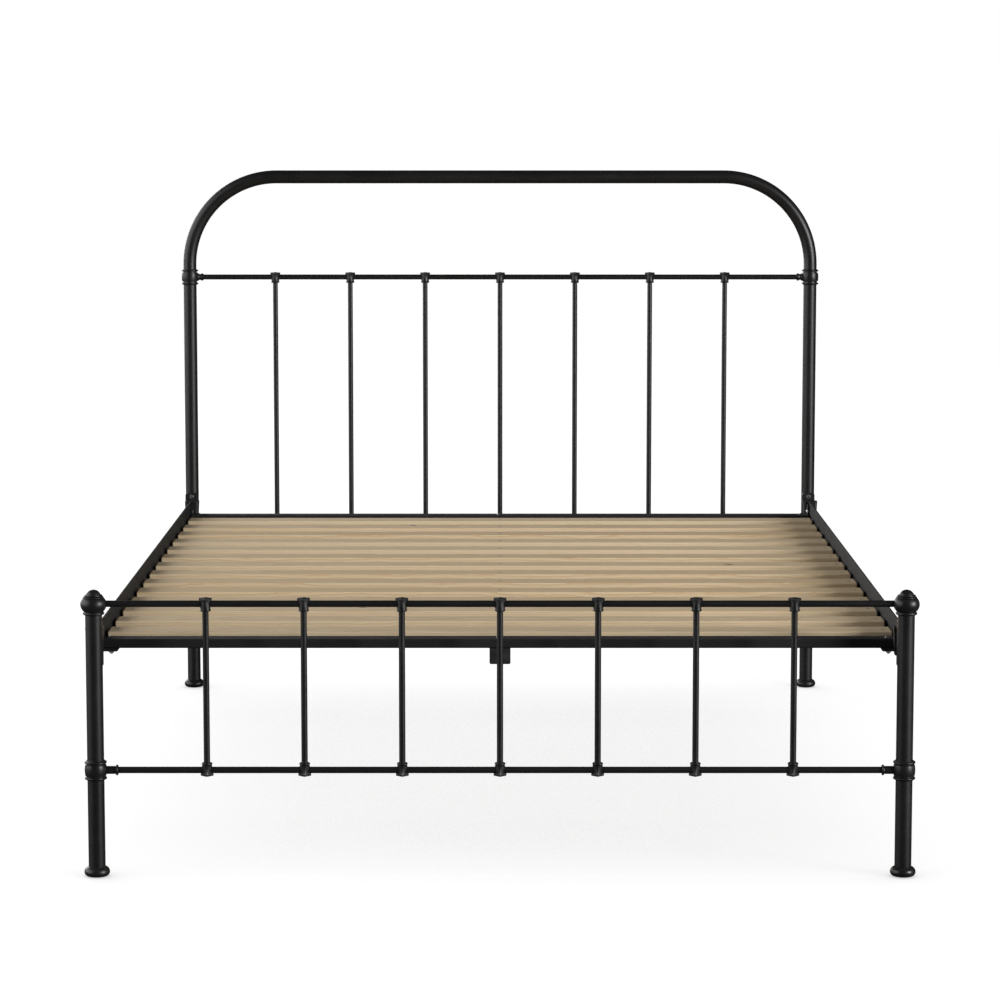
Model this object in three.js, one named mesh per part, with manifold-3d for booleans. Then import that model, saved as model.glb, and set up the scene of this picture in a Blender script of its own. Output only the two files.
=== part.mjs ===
// Metal bed frame with a hooped headboard, a low footboard and a slatted base, in millimetres.
// X runs across the bed, +Y from the foot to the head, +Z up. The origin is on the floor, in the
// middle of the bed. Round stock is faceted.

import * as THREE from 'three';
import { mergeVertices } from 'three/addons/utils/BufferGeometryUtils.js';
import Module from 'manifold-3d';

const wasm = await Module();
wasm.setup();

// Driving dimensions of the two end frames.
const POST_PITCH = 1530;
const END_PITCH = 2060;
const POST_RADIUS = 16;
const POST_WALL = 1.8;
const HOOP_TOP = 1271;
const HOOP_BEND = 215;
const HEAD_RAIL_HEIGHT = 1025;
const FOOT_RAIL_HEIGHT = 523;
const LOW_RAIL_HEIGHT = 205;
const RAIL_RADIUS = 6.25;
const SPINDLE_RADIUS = 6;
const SPINDLE_PITCH = 184.8;
const SPINDLE_COUNT = 7;
const FINIAL_BASE = 502;
const FINIAL_SOCKET_FLOOR = 12;
const FOOT_SOCKET_FLOOR = 5;

// Driving dimensions of the cast collars and the bosses that the rails enter.
const FOOT_COLLAR = { radius: 21, half: 19 };
const FOOT_BOSS = { length: 21.8, radius: 7.65, flangeRadius: 10.2, flangeThickness: 4 };
const HEAD_COLLAR = { radius: 20.5, half: 19.3 };
const HEAD_BOSS = { length: 12.6, radius: 7.5, flangeRadius: 8.9, flangeThickness: 3 };

// Driving dimensions of the mattress base.
const RAIL_BOTTOM = 423;
const RAIL_TOP = 473;
const FLANGE_WIDTH = 40;
const ANGLE_THICKNESS = 4;
const SLAT_COUNT = 14;
const SLAT_PITCH = 130;
const SLAT_WIDTH = 65;
const SLAT_THICKNESS = 18;
const SLAT_LENGTH = 1514;
const CROSS_RAIL_WIDTH = 40;
const CROSS_RAIL_FROM_END = 85;
const CENTRE_RAIL_WIDTH = 40;
const CENTRE_RAIL_DEPTH = 30;
const BOX_TUBE_WALL = 2;

// Driving dimensions of the corner locks. Distances along the bed are from the post's centre, and
// the lock's face stands clear of the finial, which it passes as the base is lifted out.
const BRACKET_BOTTOM = 399;
const BRACKET_TOP = 491;
const BRACKET_HALF_WIDTH = 15;
const BRACKET_SHOULDER = 6;
const BRACKET_FACE = 25.2;
const BRACKET_WRAP = 8;
const TONGUE_ROOT = 7;
const TONGUE_TIP = 9.5;
const TONGUE_DEPTH = 10;
const TONGUE_TOP = 466;
const TONGUE_TAPER = 0.78;
const LOCK_BOTTOM = 420;
const LOCK_BACK = 53;
const LOCK_LOBE = 17;
const LOCK_PLAIN_SIDE = 12.5;
const LOCK_FLARE = 1.16;
const CHEEK_END = 84;
const CHEEK_THICKNESS = 4.7;
const CHEEK_INSET = 5;

// Clearances: between touching pieces, and round stock in its bore.
const GAP = 0.3;
const BORE_CLEARANCE = 0.35;

const POST_SIDES = 16;
const RAIL_SIDES = 12;
const SPINDLE_SIDES = 8;

const POST_X = POST_PITCH / 2;
const END_Y = END_PITCH / 2;
const POST_BORE = POST_RADIUS + BORE_CLEARANCE;
const RAIL_BORE = RAIL_RADIUS + BORE_CLEARANCE;
const SLAT_BOTTOM = RAIL_BOTTOM + ANGLE_THICKNESS + GAP;

const tubePaint = new THREE.MeshStandardMaterial({ color: 0x17181a, roughness: 0.42, metalness: 0.1 });
const castPaint = new THREE.MeshStandardMaterial({ color: 0x151617, roughness: 0.5, metalness: 0.1 });
const railPaint = new THREE.MeshStandardMaterial({ color: 0x1a1b1c, roughness: 0.6, metalness: 0.1 });
const slatWood = new THREE.MeshStandardMaterial({ color: 0xcda876, roughness: 0.7, metalness: 0 });

const bed = new THREE.Group();

function addPiece(name, geometry, material, x = 0, y = 0, turn = 0) {
  const piece = new THREE.Mesh(geometry, material);
  piece.name = name;
  piece.position.set(x, y, 0);
  piece.rotation.z = turn;
  bed.add(piece);
}

// Turns a closed geometry into a solid that can be joined and cut.
function toSolid(geometry) {
  const bare = new THREE.BufferGeometry();
  bare.setAttribute('position', geometry.getAttribute('position'));
  bare.setIndex(geometry.getIndex());
  const merged = mergeVertices(bare, 1e-4);
  const corners = merged.getIndex().array;
  const kept = [];
  for (let i = 0; i < corners.length; i += 3) {
    const [a, b, c] = corners.slice(i, i + 3);
    if (a !== b && b !== c && c !== a) kept.push(a, b, c);
  }
  const vertProperties = new Float32Array(merged.getAttribute('position').array);
  const triVerts = new Uint32Array(kept);
  return new wasm.Manifold(new wasm.Mesh({ numProp: 3, vertProperties, triVerts }));
}

function toGeometry(solid) {
  const mesh = solid.getMesh();
  const geometry = new THREE.BufferGeometry();
  geometry.setAttribute('position', new THREE.BufferAttribute(mesh.vertProperties, 3));
  geometry.setIndex(new THREE.BufferAttribute(mesh.triVerts, 1));
  geometry.computeVertexNormals();
  return geometry;
}

// A turned solid about the vertical axis, from [radius, height] pairs listed upwards.
function turned(profile, sides) {
  const points = profile.map(([radius, height]) => new THREE.Vector2(radius, height));
  return new THREE.LatheGeometry(points, sides).rotateX(Math.PI / 2);
}

// A turned solid about the X axis, from [radius, distance] pairs listed outwards.
function turnedAlongX(profile, sides) {
  return turned(profile, sides).rotateY(Math.PI / 2);
}

function rodAlongX(radius, from, to, sides) {
  return turnedAlongX([[0, from], [radius, from], [radius, to], [0, to]], sides);
}

function block(xFrom, xTo, yFrom, yTo, zFrom, zTo) {
  const box = new THREE.BoxGeometry(xTo - xFrom, yTo - yFrom, zTo - zFrom);
  return box.translate((xFrom + xTo) / 2, (yFrom + yTo) / 2, (zFrom + zTo) / 2);
}

function outline(points) {
  return new THREE.Shape(points.map(([x, y]) => new THREE.Vector2(x, y)));
}

// A path given by points and directions, so that a bend is only divided where it turns.
class StationPath extends THREE.Curve {
  constructor(stations) {
    super();
    this.stations = stations;
  }

  getPoint(t) {
    return this.stations[Math.round(t * (this.stations.length - 1))].place.clone();
  }

  getTangent(t) {
    return this.stations[Math.round(t * (this.stations.length - 1))].direction.clone();
  }

  getUtoTmapping(u) {
    return u;
  }
}

// The hoop: up the left leg, round both bends and down the right leg, open at both ends.
function hoopTube() {
  const stations = [];
  const bendSteps = 8;
  const bendCentreX = POST_X - HOOP_BEND;
  const bendCentreZ = HOOP_TOP - HOOP_BEND;
  const addStation = (x, z, dx, dz) => {
    stations.push({ place: new THREE.Vector3(x, 0, z), direction: new THREE.Vector3(dx, 0, dz) });
  };
  addStation(-POST_X, FOOT_SOCKET_FLOOR + GAP, 0, 1);
  for (let i = 0; i <= bendSteps; i += 1) {
    const angle = Math.PI - (i / bendSteps) * (Math.PI / 2);
    const [c, s] = [Math.cos(angle), Math.sin(angle)];
    addStation(-bendCentreX + HOOP_BEND * c, bendCentreZ + HOOP_BEND * s, s, -c);
  }
  for (let i = 0; i <= bendSteps; i += 1) {
    const angle = Math.PI / 2 - (i / bendSteps) * (Math.PI / 2);
    const [c, s] = [Math.cos(angle), Math.sin(angle)];
    addStation(bendCentreX + HOOP_BEND * c, bendCentreZ + HOOP_BEND * s, s, -c);
  }
  addStation(POST_X, FOOT_SOCKET_FLOOR + GAP, 0, -1);
  const section = new THREE.Shape().absarc(0, 0, POST_RADIUS, 0, Math.PI * 2);
  section.holes.push(new THREE.Path().absarc(0, 0, POST_RADIUS - POST_WALL, 0, Math.PI * 2));
  return new THREE.ExtrudeGeometry(section, {
    steps: stations.length - 1,
    curveSegments: POST_SIDES / 2,
    extrudePath: new StationPath(stations),
  });
}

function postTube() {
  const bore = POST_RADIUS - POST_WALL;
  const bottom = FOOT_SOCKET_FLOOR + GAP;
  const top = FINIAL_BASE - GAP;
  return turned([[bore, bottom], [POST_RADIUS, bottom], [POST_RADIUS, top], [bore, top], [bore, bottom]],
    POST_SIDES);
}

// The cast bun foot, with a socket that the tube stands in.
function castFoot() {
  return turned([
    [0, 0], [17.5, 0], [22.2, 2.6], [24.9, 7.6], [24.2, 11.6], [21.4, 14.6],
    [18.6, 16.6], [17.6, 20], [POST_BORE, 20], [POST_BORE, FOOT_SOCKET_FLOOR], [0, FOOT_SOCKET_FLOOR],
  ], POST_SIDES);
}

// The stepped ball that caps a foot post. A spigot goes down the tube, and the top rail enters
// the ball at its widest, on the side given by inward (+1 or -1 along X).
function ballFinial(inward) {
  const spigot = POST_RADIUS - POST_WALL - BORE_CLEARANCE;
  const shape = [
    [0, -24], [spigot, -24], [spigot, 0], [16.8, 0], [20.3, 2.2], [20.3, 4.6], [18.9, 6.4],
    [22.3, 11], [24.3, 16], [24.7, 21], [23.9, 26], [21.6, 30.4], [17.6, 34.5], [16.9, 36.3],
    [14.6, 37], [14.5, 38.8], [12.6, 41], [8.6, 45.2], [4.2, 47.3], [0, 48],
  ];
  const ball = toSolid(turned(shape.map(([r, z]) => [r, FINIAL_BASE + z]), POST_SIDES));
  const bore = rodAlongX(RAIL_BORE, FINIAL_SOCKET_FLOOR, 30, RAIL_SIDES).rotateZ(inward > 0 ? 0 : Math.PI);
  return toGeometry(ball.subtract(toSolid(bore.translate(0, 0, FOOT_RAIL_HEIGHT))));
}

// A cast collar round a post or hoop leg, with a bead at each end and a boss for the rail.
function castCollar(height, inward, bodyRadius, halfLength, boss) {
  const bead = bodyRadius - 0.2;
  const groove = bodyRadius - 2.4;
  const ring = toSolid(turned([
    [POST_BORE, -halfLength], [bead - 1.8, -halfLength], [bead, 2.2 - halfLength],
    [bead, 4 - halfLength], [groove, 6.2 - halfLength], [bodyRadius - 0.8, 8 - halfLength],
    [bodyRadius, 0], [bodyRadius - 0.8, halfLength - 8], [groove, halfLength - 6.2],
    [bead, halfLength - 4], [bead, halfLength - 2.2], [bead - 1.8, halfLength],
    [POST_BORE, halfLength], [POST_BORE, -halfLength],
  ], POST_SIDES));
  const bossEnd = bodyRadius + boss.length;
  const flangeStart = bossEnd - boss.flangeThickness;
  const spout = toSolid(turnedAlongX([
    [0, bodyRadius - 2.5], [boss.radius, bodyRadius - 2.5], [boss.radius, flangeStart - 1],
    [boss.flangeRadius, flangeStart], [boss.flangeRadius, bossEnd], [0, bossEnd],
  ], RAIL_SIDES));
  const bore = toSolid(rodAlongX(RAIL_BORE, bodyRadius + 1, bossEnd + 1, RAIL_SIDES));
  const collar = toGeometry(ring.add(spout).subtract(bore));
  return collar.rotateZ(inward > 0 ? 0 : Math.PI).translate(0, 0, height);
}

// A spindle with the two knuckles that are cast round it and round the rails at its ends. The
// knuckles are square at their outer ends, with an arris to the front, and end in a round bead.
function spindle(lowRail, highRail) {
  const knuckle = [
    [0, -11.8], [3.6, -11.8], [3.9, -10.3], [11.2, -10.3], [12, -9.3], [12, -6.4],
    [9.3, 9.2], [10, 10.8], [10, 12.4], [7.4, 14.6], [SPINDLE_RADIUS, 14.8],
  ];
  const low = knuckle.map(([r, z]) => [r, lowRail + z]);
  const high = knuckle.map(([r, z]) => [r, highRail - z]).reverse();
  let solid = toSolid(turned([...low, ...high], SPINDLE_SIDES));
  for (const height of [lowRail, highRail]) {
    const bore = rodAlongX(RAIL_BORE, -20, 20, RAIL_SIDES).translate(0, 0, height);
    solid = solid.subtract(toSolid(bore));
  }
  return toGeometry(solid);
}

// A vertical prism from a plan outline, whose widths in X shrink or grow to topScale at its top.
function taperedPrism(plan, zFrom, zTo, topScale) {
  const prism = new THREE.ExtrudeGeometry(outline(plan), { depth: zTo - zFrom, bevelEnabled: false });
  const position = prism.getAttribute('position');
  for (let i = 0; i < position.count; i += 1) {
    const rise = position.getZ(i) / (zTo - zFrom);
    position.setX(i, position.getX(i) * (1 + (topScale - 1) * rise));
  }
  return prism.translate(0, 0, zFrom);
}

// The dovetail of a corner lock, seen from above: wider away from the post.
function dovetailPlan(root, tip, yFrom, yTo) {
  return [[-root, yFrom], [root, yFrom], [tip, yTo], [-tip, yTo]];
}

// The casting on a post: a shouldered plate that hugs the tube, and an upright dovetail tongue
// that narrows towards its top. It faces +Y.
function cornerBracket() {
  const wide = BRACKET_HALF_WIDTH;
  const narrow = wide - BRACKET_SHOULDER;
  const [low, high] = [BRACKET_BOTTOM + BRACKET_SHOULDER, BRACKET_TOP - BRACKET_SHOULDER];
  const plateShape = outline([
    [-narrow, BRACKET_BOTTOM], [narrow, BRACKET_BOTTOM], [wide, low], [wide, high],
    [narrow, BRACKET_TOP], [-narrow, BRACKET_TOP], [-wide, high], [-wide, low],
  ]);
  const depth = BRACKET_FACE - BRACKET_WRAP;
  const plate = new THREE.ExtrudeGeometry(plateShape, { depth, bevelEnabled: false });
  plate.rotateX(Math.PI / 2).translate(0, BRACKET_FACE, 0);
  const tube = turned([
    [0, BRACKET_BOTTOM - 1], [POST_BORE, BRACKET_BOTTOM - 1],
    [POST_BORE, BRACKET_TOP + 1], [0, BRACKET_TOP + 1],
  ], POST_SIDES);
  const tonguePlan = dovetailPlan(TONGUE_ROOT, TONGUE_TIP, BRACKET_FACE - 1, BRACKET_FACE + TONGUE_DEPTH);
  const tongue = taperedPrism(tonguePlan, LOCK_BOTTOM, TONGUE_TOP, TONGUE_TAPER);
  return toGeometry(toSolid(plate).subtract(toSolid(tube)).add(toSolid(tongue)));
}

// The casting on the end of a side rail. It drops over the tongue from above and grips the
// rail between two cheeks. One pattern serves all four corners, so its lobe isn't mirrored.
function railEnd() {
  const front = BRACKET_FACE + GAP;
  const bodyPlan = [
    [-LOCK_LOBE, front], [LOCK_PLAIN_SIDE, front], [LOCK_PLAIN_SIDE, LOCK_BACK], [-LOCK_LOBE, LOCK_BACK],
  ];
  const body = taperedPrism(bodyPlan, LOCK_BOTTOM, RAIL_TOP, LOCK_FLARE);
  const play = 2 * GAP;
  const slotPlan = dovetailPlan(
    TONGUE_ROOT + play, TONGUE_TIP + play, BRACKET_FACE - 1, BRACKET_FACE + TONGUE_DEPTH + play);
  const slot = taperedPrism(slotPlan, LOCK_BOTTOM - 1, TONGUE_TOP + play, TONGUE_TAPER);
  const inner = ANGLE_THICKNESS / 2 + GAP;
  const outer = inner + CHEEK_THICKNESS;
  const low = RAIL_BOTTOM + ANGLE_THICKNESS + CHEEK_INSET;
  const cheeks = block(-outer, outer, LOCK_BACK - 1, CHEEK_END, low, RAIL_TOP - CHEEK_INSET);
  const flangeSlot = block(-inner, inner, LOCK_BACK, CHEEK_END + 1, low - 1, RAIL_TOP);
  const casting = toSolid(body).add(toSolid(cheeks)).subtract(toSolid(flangeSlot));
  return toGeometry(casting.subtract(toSolid(slot)));
}

// An angle-iron side rail: an upright flange in line with the posts, and a shelf pointing
// inwards (+1 or -1 along X) for the slats.
function sideRail(inward) {
  const half = ANGLE_THICKNESS / 2;
  const shelf = RAIL_BOTTOM + ANGLE_THICKNESS;
  const length = END_PITCH - 2 * (LOCK_BACK + GAP);
  const tip = FLANGE_WIDTH - half;
  const section = outline([
    [-half, RAIL_BOTTOM], [tip, RAIL_BOTTOM], [tip, shelf], [half, shelf], [half, RAIL_TOP],
    [-half, RAIL_TOP],
  ]);
  const rail = new THREE.ExtrudeGeometry(section, { depth: length, bevelEnabled: false });
  rail.rotateX(Math.PI / 2).translate(0, length / 2, 0);
  return inward > 0 ? rail : rail.rotateZ(Math.PI);
}

// A rectangular tube along Y with open ends, from its width in X, its height range and its length.
function boxTube(width, zFrom, zTo, length) {
  const wall = BOX_TUBE_WALL;
  const ring = (half, low, high) => [[-half, low], [half, low], [half, high], [-half, high]];
  const section = outline(ring(width / 2, zFrom, zTo));
  const bore = ring(width / 2 - wall, zFrom + wall, zTo - wall);
  section.holes.push(outline(bore));
  const tube = new THREE.ExtrudeGeometry(section, { depth: length, bevelEnabled: false });
  return tube.rotateX(Math.PI / 2).translate(0, length / 2, 0);
}

// A wooden slat across the bed, with eased long edges.
function slat() {
  const half = SLAT_WIDTH / 2;
  const top = SLAT_BOTTOM + SLAT_THICKNESS;
  const ease = 3;
  const section = outline([
    [-half + ease, SLAT_BOTTOM], [half - ease, SLAT_BOTTOM], [half, SLAT_BOTTOM + ease],
    [half, top - ease], [half - ease, top], [-half + ease, top], [-half, top - ease],
    [-half, SLAT_BOTTOM + ease],
  ]);
  const board = new THREE.ExtrudeGeometry(section, { depth: SLAT_LENGTH, bevelEnabled: false });
  return board.rotateX(Math.PI / 2).translate(0, SLAT_LENGTH / 2, 0).rotateZ(Math.PI / 2);
}

const SIDES = [
  { side: 'left', x: -POST_X, inward: 1 },
  { side: 'right', x: POST_X, inward: -1 },
];

function addSpindles(name, y, highRail) {
  for (let i = 0; i < SPINDLE_COUNT; i += 1) {
    const x = (i - (SPINDLE_COUNT - 1) / 2) * SPINDLE_PITCH;
    addPiece(`${name}_spindle_${i + 1}`, spindle(LOW_RAIL_HEIGHT, highRail), tubePaint, x, y);
  }
}

function addEndRail(name, y, height, reach) {
  const rail = rodAlongX(RAIL_RADIUS, -reach, reach, RAIL_SIDES).translate(0, 0, height);
  addPiece(name, rail, tubePaint, 0, y);
}

function addHeadboard() {
  addPiece('headboard_hoop', hoopTube(), tubePaint, 0, END_Y);
  for (const { side, x, inward } of SIDES) {
    const collar = (height) => (
      castCollar(height, inward, HEAD_COLLAR.radius, HEAD_COLLAR.half, HEAD_BOSS));
    addPiece(`headboard_upper_collar_${side}`, collar(HEAD_RAIL_HEIGHT), castPaint, x, END_Y);
    addPiece(`headboard_lower_collar_${side}`, collar(LOW_RAIL_HEIGHT), castPaint, x, END_Y);
    addPiece(`headboard_foot_${side}`, castFoot(), castPaint, x, END_Y);
    addPiece(`headboard_bracket_${side}`, cornerBracket(), castPaint, x, END_Y, Math.PI);
  }
  const reach = POST_X - HEAD_COLLAR.radius - 2;
  addEndRail('headboard_upper_rail', END_Y, HEAD_RAIL_HEIGHT, reach);
  addEndRail('headboard_lower_rail', END_Y, LOW_RAIL_HEIGHT, reach);
  addSpindles('headboard', END_Y, HEAD_RAIL_HEIGHT);
}

function addFootboard() {
  for (const { side, x, inward } of SIDES) {
    addPiece(`footboard_post_${side}`, postTube(), tubePaint, x, -END_Y);
    addPiece(`footboard_finial_${side}`, ballFinial(inward), castPaint, x, -END_Y);
    const collar = castCollar(LOW_RAIL_HEIGHT, inward, FOOT_COLLAR.radius, FOOT_COLLAR.half, FOOT_BOSS);
    addPiece(`footboard_collar_${side}`, collar, castPaint, x, -END_Y);
    addPiece(`footboard_foot_${side}`, castFoot(), castPaint, x, -END_Y);
    addPiece(`footboard_bracket_${side}`, cornerBracket(), castPaint, x, -END_Y);
  }
  addEndRail('footboard_top_rail', -END_Y, FOOT_RAIL_HEIGHT, POST_X - FINIAL_SOCKET_FLOOR - 1);
  addEndRail('footboard_lower_rail', -END_Y, LOW_RAIL_HEIGHT, POST_X - FOOT_COLLAR.radius - 2);
  addSpindles('footboard', -END_Y, FOOT_RAIL_HEIGHT);
}

function addMattressBase() {
  for (const { side, x, inward } of SIDES) {
    addPiece(`side_rail_${side}`, sideRail(inward), railPaint, x);
    addPiece(`rail_end_foot_${side}`, railEnd(), castPaint, x, -END_Y);
    addPiece(`rail_end_head_${side}`, railEnd(), castPaint, x, END_Y, Math.PI);
  }
  const crossRailY = END_Y - CROSS_RAIL_FROM_END;
  const crossRail = () => boxTube(CROSS_RAIL_WIDTH, SLAT_BOTTOM, SLAT_BOTTOM + SLAT_THICKNESS, SLAT_LENGTH);
  addPiece('cross_rail_foot', crossRail(), railPaint, 0, -crossRailY, Math.PI / 2);
  addPiece('cross_rail_head', crossRail(), railPaint, 0, crossRailY, Math.PI / 2);
  const centreTop = SLAT_BOTTOM - GAP;
  const centreLength = 2 * crossRailY + CROSS_RAIL_WIDTH;
  const centreRail = boxTube(CENTRE_RAIL_WIDTH, centreTop - CENTRE_RAIL_DEPTH, centreTop, centreLength);
  addPiece('centre_rail', centreRail, railPaint);
  for (let i = 0; i < SLAT_COUNT; i += 1) {
    addPiece(`slat_${i + 1}`, slat(), slatWood, 0, (i - (SLAT_COUNT - 1) / 2) * SLAT_PITCH);
  }
}

addHeadboard();
addFootboard();
addMattressBase();

export default bed;
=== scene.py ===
import math

import bmesh
import bpy
from mathutils import Matrix, Vector


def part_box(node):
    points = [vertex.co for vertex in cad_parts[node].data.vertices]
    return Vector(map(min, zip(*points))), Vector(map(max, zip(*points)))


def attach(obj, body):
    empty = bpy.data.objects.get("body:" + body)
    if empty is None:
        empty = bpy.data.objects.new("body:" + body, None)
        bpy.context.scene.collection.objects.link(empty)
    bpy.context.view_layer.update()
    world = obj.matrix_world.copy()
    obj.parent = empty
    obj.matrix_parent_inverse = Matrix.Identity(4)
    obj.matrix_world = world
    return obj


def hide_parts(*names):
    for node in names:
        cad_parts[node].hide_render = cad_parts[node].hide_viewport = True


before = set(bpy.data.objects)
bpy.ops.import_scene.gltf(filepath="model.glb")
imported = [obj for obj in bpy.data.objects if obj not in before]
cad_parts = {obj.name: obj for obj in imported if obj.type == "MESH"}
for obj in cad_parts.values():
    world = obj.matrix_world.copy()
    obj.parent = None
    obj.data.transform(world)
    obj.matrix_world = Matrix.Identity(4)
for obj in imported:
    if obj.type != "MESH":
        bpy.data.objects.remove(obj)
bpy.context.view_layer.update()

# Lengths are in metres, except the (radius, height) profiles of castings, in millimetres.
MM = 0.001
ROUND = 64
ROD_ROUND = 40
SMOOTH_ANGLE = math.radians(32)
MERGE_DISTANCE = 0.002 * MM
FACING = 0.9


def low(node):
    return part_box(node)[0]


def high(node):
    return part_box(node)[1]


def middle(node):
    return (low(node) + high(node)) / 2


def extent(node):
    return high(node) - low(node)


# Places and sizes that come from the frame.
SIDES = {"left": -1, "right": 1}
POST_X = middle("footboard_post_right").x
FOOT_Y = middle("footboard_post_right").y
HEAD_Y = middle("headboard_hoop").y
POST_RADIUS = extent("footboard_post_right").x / 2
POST_BOTTOM = low("footboard_post_right").z
POST_TOP = high("footboard_post_right").z
HOOP_TOP = high("headboard_hoop").z - POST_RADIUS
RAIL_RADIUS = extent("footboard_top_rail").z / 2
ROD_CHAMFER = 0.8 * MM
FOOT_RAIL_Z = middle("footboard_top_rail").z
LOW_RAIL_Z = middle("footboard_lower_rail").z
HEAD_RAIL_Z = middle("headboard_upper_rail").z
SPINDLE_COUNT = 7
SPINDLE_RADIUS = 6 * MM
HOOP_BEND = 215 * MM
TUBE_WALL = 1.8 * MM
SLAT_COUNT = 14
SLAT_WIDTH = extent("slat_1").y
SLAT_PITCH = middle("slat_2").y - middle("slat_1").y
SLAT_TOP = high("slat_1").z
SLAT_END = high("slat_1").x
FIXING_X = SLAT_END - 15 * MM
CROSS_RAIL_Y = middle("cross_rail_head").y
SIDE_RAIL_END = high("side_rail_right").y
RAIL_FLOOR = low("side_rail_right").z
RAIL_TOP = high("side_rail_right").z
WEB_HALF = high("side_rail_right").x - POST_X
SHELF_WIDTH = extent("side_rail_right").x
SHELF_TOP = RAIL_FLOOR + 2 * WEB_HALF
CENTRE_RAIL_FLOOR = low("centre_rail").z
BOX_WALL = 2 * MM

# Distances of the corner locks, along the bed from the middle of a post.
BRACKET_FACE = high("footboard_bracket_right").y - FOOT_Y - 10 * MM
BRACKET_FLOOR = low("footboard_bracket_right").z
BRACKET_TOP = high("footboard_bracket_right").z
BRACKET_SCREW_HEIGHTS = (BRACKET_FLOOR + 10 * MM, BRACKET_TOP - 9 * MM)
LOCK_FRONT = low("rail_end_foot_right").y - FOOT_Y
LOCK_BACK = LOCK_FRONT + 27.5 * MM
LOCK_FLOOR = low("rail_end_foot_right").z
CHEEK_END = high("rail_end_foot_right").y - FOOT_Y
CHEEK_GAP = WEB_HALF + 0.3 * MM
CHEEK_THICKNESS = 4.7 * MM
RIVET_INSETS = (22 * MM, 9 * MM)
TONGUE_TOP = 466 * MM
TONGUE_TAPER = 0.78
TONGUE_ROOT = 7 * MM
TONGUE_TIP = 9.5 * MM
TONGUE_DEPTH = 10 * MM
LOCK_PLAY = 0.6 * MM


# ---------------------------------------------------------------- modelling by hand

def deselect():
    bpy.ops.object.select_all(action="DESELECT")


def activate(piece):
    deselect()
    piece.select_set(True)
    bpy.context.view_layer.objects.active = piece


def open_primitive(name, add, **settings):
    """Adds a primitive with nothing else selected, puts its place into its mesh and opens it."""
    deselect()
    add(**settings)
    piece = bpy.context.object
    piece.name = name
    bpy.ops.object.transform_apply(location=True, rotation=True, scale=True)
    bpy.ops.object.mode_set(mode="EDIT")
    bpy.ops.mesh.select_mode(type="VERT")
    return piece


def pick(piece, kind, test):
    """Selects the open piece's verts, edges or faces that pass the test.

    The test gets a vertex's place, an edge's two ends, or a face's middle and normal.
    """
    bpy.ops.mesh.select_all(action="DESELECT")
    bpy.ops.mesh.select_mode(type={"verts": "VERT", "edges": "EDGE", "faces": "FACE"}[kind])
    mesh = bmesh.from_edit_mesh(piece.data)
    mesh.normal_update()
    for part in getattr(mesh, kind):
        if kind == "verts":
            chosen = test(part.co)
        elif kind == "edges":
            chosen = test(part.verts[0].co, part.verts[1].co)
        else:
            chosen = test(part.calc_center_median(), part.normal)
        part.select_set(bool(chosen))
    mesh.select_flush_mode()
    bmesh.update_edit_mesh(piece.data)


def extrude(*step):
    bpy.ops.mesh.extrude_region_move(TRANSFORM_OT_translate={"value": step})


def widen(factors, centre=(0, 0, 0)):
    bpy.ops.transform.resize(value=factors, center_override=centre)


def close_piece(piece):
    """Merges doubled points, turns the faces outwards and leaves edit mode."""
    bpy.ops.mesh.select_all(action="SELECT")
    bpy.ops.mesh.remove_doubles(threshold=MERGE_DISTANCE)
    bpy.ops.mesh.normals_make_consistent(inside=False)
    bpy.ops.object.mode_set(mode="OBJECT")
    return smooth(piece)


def smooth(piece):
    activate(piece)
    bpy.ops.object.shade_smooth_by_angle(angle=SMOOTH_ANGLE)
    return piece


def settle(piece):
    """Puts the object's place and turn into its mesh."""
    activate(piece)
    bpy.ops.object.transform_apply(location=True, rotation=True, scale=True)
    return piece


def apply_modifier(piece, kind, **settings):
    activate(piece)
    modifier = piece.modifiers.new(kind.lower(), kind)
    for key, value in settings.items():
        setattr(modifier, key, value)
    bpy.ops.object.modifier_apply(modifier=modifier.name)
    return piece


def combine(piece, tool, operation):
    """Joins or cuts a piece with a tool shape, which is used up."""
    apply_modifier(piece, "BOOLEAN", operation=operation, object=tool, solver="EXACT")
    bpy.data.objects.remove(tool)
    return smooth(piece)


def soften(piece, width, segments=2):
    """Rounds the sharp edges, as casting, rolling and paint leave them."""
    apply_modifier(piece, "BEVEL", width=width, segments=segments, limit_method="ANGLE",
                   angle_limit=SMOOTH_ANGLE, use_clamp_overlap=True)
    smooth(piece)
    return apply_modifier(piece, "WEIGHTED_NORMAL", keep_sharp=True)


def set_down(pattern, name, place, turn=None):
    """A copy of a pattern with its own mesh, turned and then set down at a place."""
    copy = pattern.copy()
    copy.data = pattern.data.copy()
    copy.name = name
    bpy.context.scene.collection.objects.link(copy)
    copy.matrix_world = Matrix.Translation(place) @ (turn or Matrix.Identity(4))
    return settle(copy)


def about(axis, degrees):
    return Matrix.Rotation(math.radians(degrees), 4, axis)


def gather(name, parts):
    """Joins separate small solids into one piece."""
    activate(parts[0])
    for part in parts:
        part.select_set(True)
    bpy.ops.object.join()
    bpy.context.object.name = name
    return bpy.context.object


def discard(*patterns):
    for pattern in patterns:
        bpy.data.objects.remove(pattern)


def arc(centre, radius, start, end, steps):
    """Points of a profile along an arc, in degrees from outwards (0) towards upwards (90)."""
    points = []
    for i in range(steps + 1):
        angle = math.radians(start + (end - start) * i / steps)
        points.append((centre[0] + radius * math.cos(angle), centre[1] + radius * math.sin(angle)))
    return points


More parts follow.
